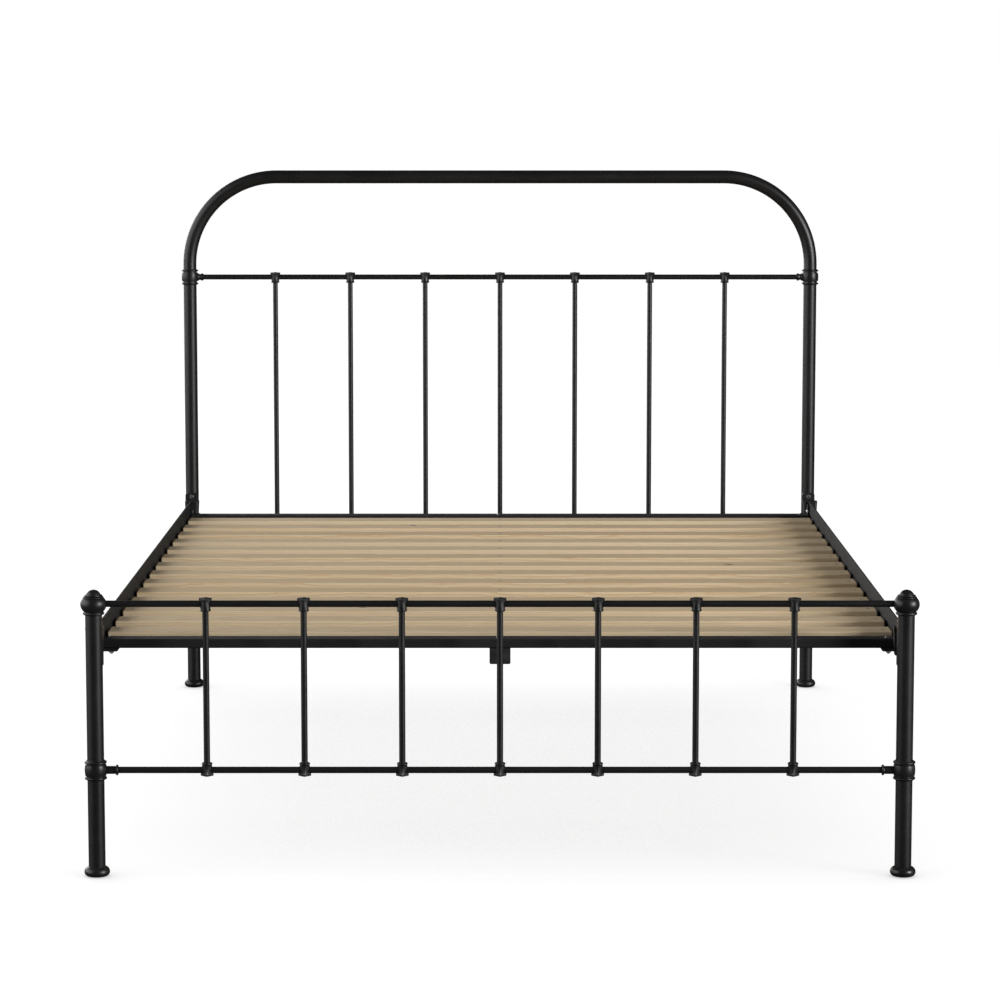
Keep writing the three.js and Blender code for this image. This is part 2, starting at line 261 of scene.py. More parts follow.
def turned(name, profile, steps=ROUND):
    """Turns a piece about the upright axis, from (radius, height) points in millimetres."""
    piece = open_primitive(name, bpy.ops.mesh.primitive_plane_add, size=MM)
    bpy.ops.mesh.merge(type="CENTER")
    bpy.ops.transform.translate(value=(profile[0][0] * MM, 0, profile[0][1] * MM))
    for (r0, z0), (r1, z1) in zip(profile, profile[1:]):
        extrude((r1 - r0) * MM, 0, (z1 - z0) * MM)
    bpy.ops.mesh.select_all(action="SELECT")
    bpy.ops.mesh.spin(steps=steps, angle=math.tau, center=(0, 0, 0), axis=(0, 0, 1))
    return close_piece(piece)


def bar(name, low_corner, high_corner):
    """A block between two corners, open for editing."""
    low_corner, high_corner = Vector(low_corner), Vector(high_corner)
    return open_primitive(name, bpy.ops.mesh.primitive_cube_add, size=1,
                          location=(low_corner + high_corner) / 2, scale=high_corner - low_corner)


def round_bar(name, radius, start, end, sides=ROD_ROUND):
    """A straight cylinder between two points, open for editing."""
    start, end = Vector(start), Vector(end)
    turn = (end - start).to_track_quat("Z", "Y").to_euler()
    return open_primitive(name, bpy.ops.mesh.primitive_cylinder_add, vertices=sides, radius=radius,
                          depth=(end - start).length, location=(start + end) / 2, rotation=turn)


# ---------------------------------------------------------------- tube and rod

def hoop_tube():
    """A ring drawn up one leg, round the two bends and down the other leg, then given its wall."""
    bend_x = POST_X - HOOP_BEND
    bend_z = HOOP_TOP - HOOP_BEND
    bottom = low("headboard_hoop").z
    piece = open_primitive("hoop", bpy.ops.mesh.primitive_circle_add, vertices=ROUND,
                           radius=POST_RADIUS, location=(-POST_X, HEAD_Y, bottom))
    bend = {"steps": 36, "angle": math.radians(90), "axis": (0, -1, 0)}
    extrude(0, 0, bend_z - bottom)
    bpy.ops.mesh.spin(center=(-bend_x, HEAD_Y, bend_z), **bend)
    extrude(2 * bend_x, 0, 0)
    bpy.ops.mesh.spin(center=(bend_x, HEAD_Y, bend_z), **bend)
    extrude(0, 0, bottom - bend_z)
    close_piece(piece)
    return smooth(apply_modifier(piece, "SOLIDIFY", thickness=TUBE_WALL, offset=-1))


def post_tube(name, x):
    piece = open_primitive(name, bpy.ops.mesh.primitive_circle_add, vertices=ROUND,
                           radius=POST_RADIUS, location=(x, FOOT_Y, POST_BOTTOM))
    extrude(0, 0, POST_TOP - POST_BOTTOM)
    close_piece(piece)
    return smooth(apply_modifier(piece, "SOLIDIFY", thickness=TUBE_WALL, offset=-1))


def rod(name, radius, start, end):
    """A drawn rod with chamfered ends."""
    piece = round_bar(name, radius, start, end)
    unit = (Vector(end) - Vector(start)).normalized()
    pick(piece, "faces", lambda place, normal: abs(normal.dot(unit)) > FACING)
    bpy.ops.mesh.bevel(offset=ROD_CHAMFER, segments=1, affect="EDGES")
    return close_piece(piece)


# ---------------------------------------------------------------- turned castings

# In millimetres: the bores for a post and a rail, and the finial's stem inside its post.
SOCKET = 16.05
RAIL_SOCKET = 6.4
FINIAL_STEM = 24


def bun_foot():
    """The cast foot: a full round bun that closes on the tube."""
    return turned("bun_foot", [
        (0, 2.6), (15.3, 2.6), (15.3, 0.9), (15.8, 0.7),
        *arc((16.1, 8.95), 8.2, -88, 0, 12),
        *arc((13.9, 8.95), 10.4, 5, 77, 16),
        (SOCKET, 19.2), (SOCKET, 5), (0, 5),
    ])


def foot_glide():
    return turned("foot_glide", [
        (0, 0.6), (9, 0.6), (10, 0), (13.6, 0), *arc((13.6, 1.2), 1.2, -90, 0, 4), (14.8, 2.6), (0, 2.6),
    ])


def ball_finial():
    """The stepped ball: bead, neck, full ball, two steps and a dome, with a socket for the rail."""
    ball = turned("ball_finial", [
        (0, -FINIAL_STEM), (13.4, -FINIAL_STEM), (14, 1 - FINIAL_STEM), (14, 0), (16.3, 0),
        *arc((17.3, 3.1), 3.0, -80, 62, 10),
        (18.2, 6.3), *arc((7.17, 20.03), 17.53, -48, 41.5, 26),
        (18.6, 31.9), *arc((18.1, 33.4), 1.35, -60, 75, 8),
        (16.2, 35.0), *arc((15.9, 36.5), 1.35, -55, 78, 8),
        (14.2, 38.2), *arc((0, 32.8), 15.2, 20, 90, 16),
    ])
    height = FOOT_RAIL_Z - low("footboard_finial_right").z - FINIAL_STEM * MM
    bore = round_bar("bore", RAIL_SOCKET * MM, (12 * MM, 0, height), (30 * MM, 0, height))
    return combine(ball, close_piece(bore), "DIFFERENCE")


def collar_ring(name, body, half, bead):
    """The body of a cast collar: a barrel between two beads that are set off by grooves."""
    bead_centre = (body + 0.1 - bead, half - bead - 1.5)
    groove = body - 3.4
    barrel_end = 10.2
    bulge = 49
    upper = [
        (groove, barrel_end + 0.6), (groove, bead_centre[1] - bead - 0.1),
        *arc(bead_centre, bead, -75, 75, 10),
        (body - 2.8, half - 1.4), (body - 3.8, half), (SOCKET, half),
    ]
    lower = [(radius, -height) for radius, height in reversed(upper)]
    barrel = arc((body - bulge, 0), bulge, -12, 12, 10)
    return turned(name, [*lower, *barrel, *upper, lower[0]])


def boss(name, outline):
    """A bored boss along +X, from the (radius, distance) points of its outside."""
    near, far = outline[0][1], outline[-1][1]
    bored = [(RAIL_SOCKET, near), *outline, (RAIL_SOCKET, far), (RAIL_SOCKET, near)]
    spout = turned(name, bored, steps=48)
    spout.matrix_world = about("Y", 90)
    return settle(spout)


def foot_collar():
    """The footboard's collar: its long plain boss ends in a thin flange."""
    spout = boss("foot_boss", [
        (7.65, 17.5), (7.65, 36.8), (7.2, 37.5), (7.7, 38.3),
        *arc((8.0, 40.4), 2.3, -70, 70, 8), (7.6, 42.8),
    ])
    return combine(collar_ring("foot_collar", 21, 19, 2.3), spout, "UNION")


def head_collar():
    """The headboard's collar: its short boss is waisted and flares into a flange."""
    spout = boss("head_boss", [
        (9.4, 17.5), (9.2, 20.6), *arc((12.2, 24.9), 4.9, 230, 140, 8),
        (8.9, 29.4), *arc((7.5, 31.4), 1.6, -20, 80, 6), (7.2, 33.1),
    ])
    return combine(collar_ring("head_collar", 20.5, 19.3, 1.9), spout, "UNION")


# ---------------------------------------------------------------- the cast knuckles

KNUCKLE_SIDE = 17.2 * MM
KNUCKLE_CORNER = 1.2 * MM
KNUCKLE_OUT = 10.3 * MM
KNUCKLE_LIP = 3.2 * MM
KNUCKLE_IN = -8.8 * MM
KNUCKLE_LAYERS = 12


def end_level(piece, lowest):
    heights = [vertex.co.z for vertex in bmesh.from_edit_mesh(piece.data).verts]
    return min(heights) if lowest else max(heights)


def pick_end_ring(piece, lowest):
    """Selects the open ring at the piece's lowest or highest level."""
    level = end_level(piece, lowest)
    pick(piece, "edges", lambda a, b: max(abs(a.z - level), abs(b.z - level)) < 0.01 * MM)


def pull_ring(piece, radius, height):
    """Draws the lowest ring out to a new ring of this radius at this height, in millimetres."""
    pick_end_ring(piece, lowest=True)
    ring = [v.co for v in bmesh.from_edit_mesh(piece.data).verts if v.select]
    widest = max(math.hypot(place.x, place.y) for place in ring)
    scale = radius * MM / widest
    extrude(0, 0, height * MM - end_level(piece, lowest=True))
    widen((scale, scale, 1))


def knuckle_block():
    """An open square sleeve set cornerwise, with blunt corners and fine rows of points."""
    height = KNUCKLE_OUT - KNUCKLE_IN
    piece = open_primitive("knuckle", bpy.ops.mesh.primitive_cube_add, size=1,
                           location=(0, 0, (KNUCKLE_OUT + KNUCKLE_IN) / 2),
                           rotation=(0, 0, math.radians(45)),
                           scale=(KNUCKLE_SIDE, KNUCKLE_SIDE, height))
    pick(piece, "faces", lambda place, normal: abs(normal.z) > FACING)
    bpy.ops.mesh.delete(type="ONLY_FACE")
    pick(piece, "edges", lambda a, b: abs(a.z - b.z) > height / 2)
    bpy.ops.mesh.bevel(offset=KNUCKLE_CORNER, segments=3, affect="EDGES")
    pick(piece, "edges", lambda a, b: abs(a.z - b.z) < MM and (a - b).length > KNUCKLE_SIDE / 2)
    bpy.ops.mesh.subdivide(number_cuts=7)
    pick(piece, "edges", lambda a, b: abs(a.z - b.z) > height / 2)
    bpy.ops.mesh.subdivide(number_cuts=KNUCKLE_LAYERS - 1)
    return piece


def taper_flats(piece):
    """Draws each row below the lip rounder, which leaves four tapering flats between the corners."""
    height = KNUCKLE_OUT - KNUCKLE_IN
    for layer in range(KNUCKLE_LAYERS + 1):
        level = KNUCKLE_OUT - height * layer / KNUCKLE_LAYERS
        share = max(0.0, (KNUCKLE_OUT - KNUCKLE_LIP - level) / (height - KNUCKLE_LIP))
        pick(piece, "verts", lambda place: abs(place.z - level) < 0.1 * MM)
        bpy.ops.transform.tosphere(value=share ** 0.8)
        draft = 1.05 if share == 0 else 1.0 - 0.05 * math.sin(math.pi * share / 2)
        widen((draft, draft, 1), (0, 0, level))


def draw_bead(piece):
    """Grows the last row into a groove and a round bead, and closes it."""
    bead = arc((8.2, -12.2), 2.1, 58, -70, 8)
    for radius, level in [(9.0, -9.3), (9.1, -9.9), *bead, (6.4, -14.4)]:
        pull_ring(piece, radius, level)
    bpy.ops.mesh.edge_face_add()


def close_crown(piece):
    """Closes the square end with a narrow chamfer and a small round nub."""
    chamfer, nub = 0.8 * MM, 0.9 * MM
    pick_end_ring(piece, lowest=False)
    extrude(0, 0, chamfer)
    widen((0.93, 0.93, 1))
    bpy.ops.mesh.edge_face_add()
    extrude(0, 0, 0)
    widen((0.36, 0.36, 1))
    bpy.ops.transform.tosphere(value=1)
    extrude(0, 0, nub)
    widen((0.75, 0.75, 1))


def spindle_knuckle():
    """A knuckle with its rail's centre at the origin and its square end up."""
    piece = knuckle_block()
    taper_flats(piece)
    draw_bead(piece)
    close_crown(piece)
    return close_piece(piece)


# ---------------------------------------------------------------- the corner locks

def dovetail(name, root, tip, y_from, y_to, z_from, z_to):
    """An upright wedge, wider at its far side and narrower at its top."""
    piece = bar(name, (-root, y_from, z_from), (root, y_to, z_to))
    pick(piece, "faces", lambda place, normal: normal.z > FACING)
    widen((TONGUE_TAPER, 1, 1))
    pick(piece, "faces", lambda place, normal: normal.y > FACING)
    widen((tip / root, 1, 1))
    return close_piece(piece)


def screw_pocket(height):
    """The countersink for a screw in the bracket's face."""
    pocket = turned("pocket", [(0, -9), (2.6, -9), (2.6, -2.4), (5.1, 0), (5.1, 2), (0, 2)], steps=32)
    pocket.matrix_world = Matrix.Translation((0, BRACKET_FACE, height)) @ about("X", -90)
    return settle(pocket)


def corner_bracket():
    """A shouldered plate that hugs the tube, with an upright dovetail tongue. It faces +Y."""
    half, wrap, shoulder = 15 * MM, 8 * MM, 6 * MM
    plate = bar("bracket", (-half, wrap, BRACKET_FLOOR), (half, BRACKET_FACE, BRACKET_TOP))
    pick(plate, "edges", lambda a, b: abs(a.y - b.y) > wrap)
    bpy.ops.mesh.bevel(offset=shoulder, segments=6, affect="EDGES")
    close_piece(plate)
    tube = round_bar("tube", SOCKET * MM, (0, 0, BRACKET_FLOOR - wrap), (0, 0, BRACKET_TOP + wrap), ROUND)
    combine(plate, close_piece(tube), "DIFFERENCE")
    tongue = dovetail("tongue", TONGUE_ROOT, TONGUE_TIP, BRACKET_FACE - MM, BRACKET_FACE + TONGUE_DEPTH,
                      LOCK_FLOOR, TONGUE_TOP)
    combine(plate, tongue, "UNION")
    for height in BRACKET_SCREW_HEIGHTS:
        combine(plate, screw_pocket(height), "DIFFERENCE")
    return soften(plate, 0.6 * MM)


def rail_end_block():
    """The block of a rail end: wider at its top, with rounded corners towards the rail."""
    lobe, plain_side, flare = 17 * MM, 12.5 * MM, 1.16
    block = bar("rail_end", (-lobe, LOCK_FRONT, LOCK_FLOOR), (plain_side, LOCK_BACK, RAIL_TOP))
    pick(block, "faces", lambda place, normal: normal.z > FACING)
    widen((flare, 1, 1))
    pick(block, "edges", lambda a, b: abs(a.z - b.z) > 10 * MM and a.y > LOCK_BACK - MM)
    bpy.ops.mesh.bevel(offset=6 * MM, segments=6, affect="EDGES")
    return close_piece(block)


def rail_end_cheeks(floor, top):
    """A solid block as wide as both cheeks, with round far corners."""
    half = CHEEK_GAP + CHEEK_THICKNESS
    cheeks = bar("cheeks", (-half, LOCK_BACK - 3 * MM, floor), (half, CHEEK_END, top))
    pick(cheeks, "edges", lambda a, b: abs(a.x - b.x) > MM and a.y > CHEEK_END - MM)
    bpy.ops.mesh.bevel(offset=9 * MM, segments=8, affect="EDGES")
    return close_piece(cheeks)


def rail_end():
    """The casting that drops over a tongue, and grips a side rail between two round-ended cheeks."""
    floor, top = SHELF_TOP + 5 * MM, RAIL_TOP - 5 * MM
    casting = combine(rail_end_block(), rail_end_cheeks(floor, top), "UNION")
    far_corner = (CHEEK_GAP, CHEEK_END + MM, RAIL_TOP + MM)
    flange_slot = bar("slot", (-CHEEK_GAP, LOCK_BACK, floor - MM), far_corner)
    combine(casting, close_piece(flange_slot), "DIFFERENCE")
    pocket = dovetail("pocket", TONGUE_ROOT + LOCK_PLAY, TONGUE_TIP + LOCK_PLAY, BRACKET_FACE - MM,
                      BRACKET_FACE + TONGUE_DEPTH + LOCK_PLAY, LOCK_FLOOR - MM, TONGUE_TOP + LOCK_PLAY)
    combine(casting, pocket, "DIFFERENCE")
    return soften(casting, 0.9 * MM)


# ---------------------------------------------------------------- the mattress base

def side_rail():
    """Angle iron: the upright flange stands on the line of the posts, and the shelf points to -X."""
    outer, shelf_tip = WEB_HALF, WEB_HALF - SHELF_WIDTH
    piece = bar("angle", (shelf_tip, -SIDE_RAIL_END, RAIL_FLOOR), (outer, SIDE_RAIL_END, SHELF_TOP))
    bpy.ops.mesh.select_all(action="SELECT")
    bpy.ops.mesh.bisect(plane_co=(-outer, 0, 0), plane_no=(1, 0, 0))
    pick(piece, "faces", lambda place, normal: normal.z > FACING and place.x > -outer)
    extrude(0, 0, RAIL_TOP - SHELF_TOP)
    return soften(close_piece(piece), 0.9 * MM, 3)


def box_tube(name, half_width, floor, top, end):
    """An open box tube along Y, with rounded corners and its real wall."""
    piece = bar(name, (-half_width, -end, floor), (half_width, end, top))
    pick(piece, "faces", lambda place, normal: abs(normal.y) > FACING)
    bpy.ops.mesh.delete(type="ONLY_FACE")
    pick(piece, "edges", lambda a, b: abs(a.y - b.y) > end)
    bpy.ops.mesh.bevel(offset=3 * MM, segments=5, affect="EDGES")
    close_piece(piece)
    apply_modifier(piece, "SOLIDIFY", thickness=BOX_WALL, offset=-1)
    smooth(piece)
    return apply_modifier(piece, "WEIGHTED_NORMAL", keep_sharp=True)


def tube_cap(name, half_width, floor, top):
    """A moulded cap for the +Y end of a box tube: a rounded plate with a plug behind it."""
    plate = 1.8 * MM
    piece = bar(name, (-half_width, 0, floor), (half_width, plate, top))
    pick(piece, "edges", lambda a, b: abs(a.y - b.y) > MM)
    bpy.ops.mesh.bevel(offset=3 * MM, segments=5, affect="EDGES")
    pick(piece, "faces", lambda place, normal: normal.y < -FACING)
    bpy.ops.mesh.inset(thickness=BOX_WALL + 0.2 * MM)
    extrude(0, -12 * MM, 0)
    return soften(close_piece(piece), 0.4 * MM)


def slat():
    half = SLAT_WIDTH / 2
    piece = bar("slat", (-SLAT_END, -half, low("slat_1").z), (SLAT_END, half, SLAT_TOP))
    return soften(close_piece(piece), 2.4 * MM, 3)


# ---------------------------------------------------------------- fasteners, standing on z = 0

def hex_hole(across, depth):
    """A six-sided tool shape that cuts a key's socket down from a little above z = 0."""
    hole = round_bar("key", across / math.sqrt(3), (0, 0, -depth), (0, 0, 4 * MM), 6)
    return close_piece(hole)


def countersunk_screw(radius):
    """A flush screw with a hexagon socket. The radius is in millimetres."""
    head = turned("screw", [
        (0, -radius * 1.4), (radius * 0.45, -radius * 1.4), (radius * 0.45, -radius * 0.5),
        (radius, 0), (radius * 0.92, 0.25), (0, 0.25),
    ], steps=24)
    return combine(head, hex_hole(radius * 0.9 * MM, radius * 0.55 * MM), "DIFFERENCE")


def rivet(half_grip):
    """A rivet along X with a domed head on both sides of its grip, in millimetres."""
    upper = [(2.2, half_grip), (4.6, half_grip), *arc((0, half_grip - 3.6), 5.84, 38, 90, 8)]
    lower = [(radius, -height) for radius, height in reversed(upper)]
    piece = turned("rivet", [*lower, *upper], steps=28)
    piece.matrix_world = about("Y", 90)
    return settle(piece)


def carriage_bolt(grip):
    """A bolt with a domed head on z = 0, and a washer and nut under a grip in millimetres."""
    head = turned("bolt", [
        (0, -grip - 9), (2.9, -grip - 9), (3, 0), (7.6, 0), *arc((0, -6.8), 10.2, 42, 90, 8),
    ], steps=32)
    washer = turned("washer", [(3.2, -grip - 1.3), (6.6, -grip - 1.3), (6.6, -grip), (3.2, -grip),
                               (3.2, -grip - 1.3)], steps=32)
    nut = round_bar("nut", 5.8 * MM, (0, 0, -(grip + 6.6) * MM), (0, 0, -(grip + 1.3) * MM), 6)
    pick(nut, "faces", lambda place, normal: abs(normal.z) > FACING)
    bpy.ops.mesh.bevel(offset=0.5 * MM, segments=2, affect="EDGES")
    return gather("bolt", [head, washer, close_piece(nut)])


# ---------------------------------------------------------------- finishes

def add_node(tree, kind, inputs=None, **settings):
    """Adds a node. An input is a value, or another node's output to link."""
    node = tree.nodes.new(kind)
    for key, value in settings.items():
        setattr(node, key, value)
    for key, value in (inputs or {}).items():
        if isinstance(value, bpy.types.NodeSocket):
            tree.links.new(value, node.inputs[key])
        else:
            node.inputs[key].default_value = value
    return node


def calc(tree, operation, *values):
    return add_node(tree, "ShaderNodeMath", dict(enumerate(values)), operation=operation).outputs[0]


def noise(tree, place, scale, detail=2.0, roughness=0.5):
    inputs = {"Vector": place, "Scale": scale, "Detail": detail, "Roughness": roughness}
    return add_node(tree, "ShaderNodeTexNoise", inputs).outputs[0]


def ramp(tree, value, start, end, low_value=0.0, high_value=1.0):
    """Carries a value's range over to another range, held at both ends."""
    inputs = {"Value": value, "From Min": start, "From Max": end,
              "To Min": low_value, "To Max": high_value}
    return add_node(tree, "ShaderNodeMapRange", inputs).outputs[0]


def tint(tree, factor, first, second):
    """A colour that goes from the first to the second as the factor goes from 0 to 1."""
    node = add_node(tree, "ShaderNodeMix", {0: factor}, data_type="RGBA")
    for slot_number, colour in ((6, first), (7, second)):
        if isinstance(colour, bpy.types.NodeSocket):
            tree.links.new(colour, node.inputs[slot_number])
        else:
            node.inputs[slot_number].default_value = (*colour, 1)
    return node.outputs[2]


def point(tree, x, y, z=0.0):
    return add_node(tree, "ShaderNodeCombineXYZ", {0: x, 1: y, 2: z}).outputs[0]


def object_place(tree):
    return add_node(tree, "ShaderNodeTexCoord").outputs["Object"]


def new_group(name, inputs, outputs):
    """A node group with named number inputs and outputs. Returns it with its two end nodes."""
    group = bpy.data.node_groups.new(name, "ShaderNodeTree")
    for label, value in inputs.items():
        socket = group.interface.new_socket(label, in_out="INPUT", socket_type="NodeSocketFloat")
        socket.default_value = value
    for label in outputs:
        group.interface.new_socket(label, in_out="OUTPUT", socket_type="NodeSocketFloat")
    given = group.nodes.new("NodeGroupInput").outputs
    result = group.nodes.new("NodeGroupOutput").inputs
    return group, given, result


def orange_peel_group():
    """Powder coat that has flowed and cured: shallow dimples, fine pebbling and slow patches."""
    inputs = {"Dimples": 420.0, "Pebble": 0.3}
    group, given, result = new_group("orange_peel", inputs, ["Height", "Patches"])
    place = object_place(group)
    dimples = noise(group, place, given["Dimples"], 1.5)
    fine = noise(group, place, calc(group, "MULTIPLY", given["Dimples"], 4.5), 2.0, 0.6)
    mixed = calc(group, "MULTIPLY_ADD", fine, given["Pebble"], dimples)
    slow = noise(group, place, 9.0, 4.0, 0.6)
    group.links.new(mixed, result["Height"])
    group.links.new(ramp(group, slow, 0.3, 0.7), result["Patches"])
    return group


def edge_wear_group():
    """Thin paint on proud edges, broken up so that it doesn't run evenly."""
    group, given, result = new_group("edge_wear", {"Start": 0.53, "Amount": 1.0}, ["Mask"])
    sharp = add_node(group, "ShaderNodeNewGeometry").outputs["Pointiness"]
    edge = ramp(group, calc(group, "SUBTRACT", sharp, given["Start"]), 0.0, 0.06)
    broken = ramp(group, noise(group, object_place(group), 260.0, 4.0, 0.65), 0.48, 0.62)
    worn = calc(group, "MULTIPLY", calc(group, "MULTIPLY", edge, broken), given["Amount"])
    group.links.new(worn, result["Mask"])
    return group


def settled_dust_group():
    """Dust on what faces upwards."""
    group, given, result = new_group("settled_dust", {"Amount": 1.0}, ["Mask"])
    normal = add_node(group, "ShaderNodeNewGeometry").outputs["Normal"]
    upward = add_node(group, "ShaderNodeSeparateXYZ", {0: normal}).outputs["Z"]
    patchy = ramp(group, noise(group, object_place(group), 34.0, 6.0, 0.7), 0.35, 0.75, 0.25, 1.0)
    lying = calc(group, "MULTIPLY", ramp(group, upward, 0.35, 0.95), patchy)
    group.links.new(calc(group, "MULTIPLY", lying, given["Amount"]), result["Mask"])
    return group


def handling_group():
    """Faint rubbed smears, drawn out across the bed, where hands and cloths pass."""
    group, given, result = new_group("handling", {"Streak": 70.0}, ["Mask"])
    drawn_out = {"Vector": object_place(group), "Scale": (0.22, 1, 0.6)}
    place = add_node(group, "ShaderNodeMapping", drawn_out).outputs[0]
    smear = noise(group, place, given["Streak"], 5.0, 0.62)
    group.links.new(ramp(group, smear, 0.38, 0.68), result["Mask"])
    return group


ORANGE_PEEL = orange_peel_group()
EDGE_WEAR = edge_wear_group()
SETTLED_DUST = settled_dust_group()
HANDLING = handling_group()


def use_group(tree, group, **inputs):
    return add_node(tree, "ShaderNodeGroup", inputs, node_tree=group).outputs


def new_finish(name):
    """A material with its shader. Returns the material, its node tree and the shader's inputs."""
    material = bpy.data.materials.new(name)
    material.use_nodes = True
    tree = material.node_tree
    return material, tree, tree.nodes["Principled BSDF"].inputs


def emboss(tree, shader, height, strength, distance):
    inputs = {"Height": height, "Strength": strength, "Distance": distance}
    tree.links.new(add_node(tree, "ShaderNodeBump", inputs).outputs[0], shader["Normal"])


WORN_PAINT = (0.085, 0.083, 0.08)
PALE_DUST = (0.19, 0.18, 0.165)
SMEAR_DULLING = 0.05
DUST_DULLING = 0.5
DULLEST = 0.9
PEEL_DEPTH = 0.12 * MM


def powder_coat(name, shades, gloss, dimples, pebble, relief, dust, wear=0, shine=0.5):
    """Satin black powder coat.

    The shades are its darkest and lightest patches, and gloss is the roughness of its smoothest
    and of its dullest ones.
    """
    material, tree, shader = new_finish(name)
    shader["Specular IOR Level"].default_value = shine
    peel = use_group(tree, ORANGE_PEEL, Dimples=dimples, Pebble=pebble)
    dusty = use_group(tree, SETTLED_DUST, Amount=dust)["Mask"]
    rubbed = use_group(tree, HANDLING)["Mask"]
    coat = tint(tree, peel["Patches"], *shades)
    if wear:
        worn = use_group(tree, EDGE_WEAR, Amount=wear)["Mask"]
        coat = tint(tree, worn, coat, WORN_PAINT)
    tree.links.new(tint(tree, dusty, coat, PALE_DUST), shader["Base Color"])
    even = ramp(tree, peel["Patches"], 0.0, 1.0, *gloss)
    smeared = calc(tree, "MULTIPLY_ADD", rubbed, SMEAR_DULLING, even)
    dulled = calc(tree, "MULTIPLY_ADD", dusty, DUST_DULLING, smeared)
    tree.links.new(calc(tree, "MINIMUM", dulled, DULLEST), shader["Roughness"])
    emboss(tree, shader, peel["Height"], relief, PEEL_DEPTH)
    return material


def slat_place(tree):
    """Places along and across each slat, moved to a different part of the log for every slat."""
    parts = add_node(tree, "ShaderNodeSeparateXYZ", {0: object_place(tree)}).outputs
    number = calc(tree, "FLOOR", calc(tree, "DIVIDE", parts["Y"], SLAT_PITCH))
    centre = calc(tree, "MULTIPLY", calc(tree, "ADD", number, 0.5), SLAT_PITCH)
    chance = add_node(tree, "ShaderNodeTexWhiteNoise", {"W": number}, noise_dimensions="1D").outputs
    along = calc(tree, "MULTIPLY_ADD", chance["Value"], 40.0, parts["X"])
    across = calc(tree, "SUBTRACT", parts["Y"], centre)
    return parts, chance, along, across


RING_WIDTH = 4.2 * MM
PITH_SHIFT = 50 * MM
PITH_WANDER = 35 * MM
PITH_DEPTHS = (30 * MM, 75 * MM)
GRAIN_WAVE = 3.5 * MM
EARLY_WOOD = (0.9, 0.72, 0.47)
LATE_WOOD = (0.74, 0.5, 0.27)
BROWN_FIBRE = (0.6, 0.41, 0.23)
PALE_BOARD = (0.93, 0.79, 0.58)
KNOT_BROWN = (0.12, 0.055, 0.024)


def growth_rings(tree, log, parts, chance, across):
    """The place within a growth ring, from 0 to 1, round a pith that wanders below the board."""
    shift = ramp(tree, chance["Value"], 0.0, 1.0, -PITH_SHIFT, PITH_SHIFT)
    wander = ramp(tree, noise(tree, log, 1.6, 2.0), 0.0, 1.0, -PITH_WANDER, PITH_WANDER)
    wave = ramp(tree, noise(tree, log, 14.0, 3.0), 0.0, 1.0, -GRAIN_WAVE, GRAIN_WAVE)
    strayed = calc(tree, "ADD", wander, wave)
    sideways = calc(tree, "ADD", calc(tree, "ADD", across, shift), strayed)
    depth = ramp(tree, wander, -PITH_WANDER, PITH_WANDER, *PITH_DEPTHS)
    upwards = calc(tree, "ADD", calc(tree, "SUBTRACT", parts["Z"], SLAT_TOP), depth)
    squares = [calc(tree, "POWER", distance, 2.0) for distance in (sideways, upwards)]
    pith = calc(tree, "POWER", calc(tree, "ADD", *squares), 0.5)
    return calc(tree, "FRACT", calc(tree, "DIVIDE", pith, RING_WIDTH))


def pine_knots(tree, log, chance, along, across):
    """A mask of small knots with uneven edges."""
    place = point(tree, calc(tree, "MULTIPLY", along, 0.7), across, chance["Value"])
    cells = add_node(tree, "ShaderNodeTexVoronoi", {"Vector": place, "Scale": 7.0})
    uneven = calc(tree, "MULTIPLY_ADD", noise(tree, log, 60.0), 0.03, cells.outputs["Distance"])
    return ramp(tree, uneven, 0.075, 0.055)


def slat_pine():
    """Planed pine: growth rings round a pith below the board, pale and dark bands, fibres and knots."""
    material, tree, shader = new_finish("planed_pine")
    shader["Specular IOR Level"].default_value = 0.25
    parts, chance, along, across = slat_place(tree)
    log = point(tree, calc(tree, "MULTIPLY", along, 0.9), across)
    late = calc(tree, "POWER", growth_rings(tree, log, parts, chance, across), 2.6)
    fibre_place = point(tree, calc(tree, "MULTIPLY", along, 0.035), across, parts["Z"])
    fibre = noise(tree, fibre_place, 900.0, 3.0, 0.6)
    knot = pine_knots(tree, log, chance, along, across)
    wood = tint(tree, late, EARLY_WOOD, LATE_WOOD)
    wood = tint(tree, ramp(tree, fibre, 0.35, 0.75, 0.0, 0.3), wood, BROWN_FIBRE)
    wood = tint(tree, ramp(tree, chance["Value"], 0.0, 1.0, 0.0, 0.35), wood, PALE_BOARD)
    wood = tint(tree, calc(tree, "MULTIPLY", knot, 0.85), wood, KNOT_BROWN)
    tree.links.new(wood, shader["Base Color"])
    rough = ramp(tree, late, 0.0, 1.0, 0.68, 0.54)
    tree.links.new(calc(tree, "MULTIPLY_ADD", fibre, 0.12, rough), shader["Roughness"])
    relief = calc(tree, "MULTIPLY_ADD", late, 0.4, calc(tree, "MULTIPLY", fibre, 0.7))
    emboss(tree, shader, relief, 0.5, 0.15 * MM)
    return material


def zinc_plate():
    """Zinc-plated steel with faint bluish bloom and fine turning marks."""
    material, tree, shader = new_finish("zinc_plate")
    place = object_place(tree)
    bloom = noise(tree, place, 160.0, 4.0, 0.6)
    colour = tint(tree, ramp(tree, bloom, 0.3, 0.7), (0.36, 0.37, 0.39), (0.5, 0.49, 0.47))
    tree.links.new(colour, shader["Base Color"])
    shader["Metallic"].default_value = 1.0
    tree.links.new(ramp(tree, bloom, 0.3, 0.7, 0.28, 0.46), shader["Roughness"])
    emboss(tree, shader, noise(tree, place, 1800.0, 2.0), 0.2, 0.05 * MM)
    return material


